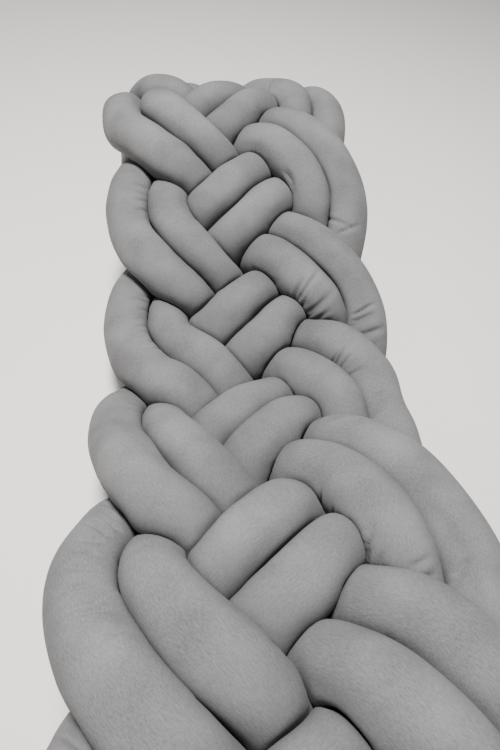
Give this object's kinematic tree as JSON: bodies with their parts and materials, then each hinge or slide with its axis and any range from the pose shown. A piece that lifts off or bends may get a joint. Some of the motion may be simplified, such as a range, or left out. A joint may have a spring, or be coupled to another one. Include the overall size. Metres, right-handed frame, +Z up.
{
  "type": "braided crib bumper",
  "caption": "Plump braid of stuffed jersey tubes, plaited flat in doubled strands, that pads a crib's sides. It lies face up with both of its ends folded under.",
  "frame": {"origin": "on the surface that the braid lies on, under the middle of its box", "axes": "+Y along the braid from the near fold to the far fold, +Z up from the surface, +X to the right seen from the near fold"},
  "size_m": [0.3572, 0.9782, 0.1971],
  "materials": {
    "grey_jersey": "matt brushed cotton jersey, softly napped"
  },
  "bodies": {
    "root": {"strand_1_tube_a": "grey_jersey", "strand_1_tube_b": "grey_jersey", "strand_2_tube_a": "grey_jersey", "strand_2_tube_b": "grey_jersey", "strand_3_tube_a": "grey_jersey", "strand_3_tube_b": "grey_jersey", "strand_4_tube_a": "grey_jersey", "strand_4_tube_b": "grey_jersey"}
  },
  "joints": []
}
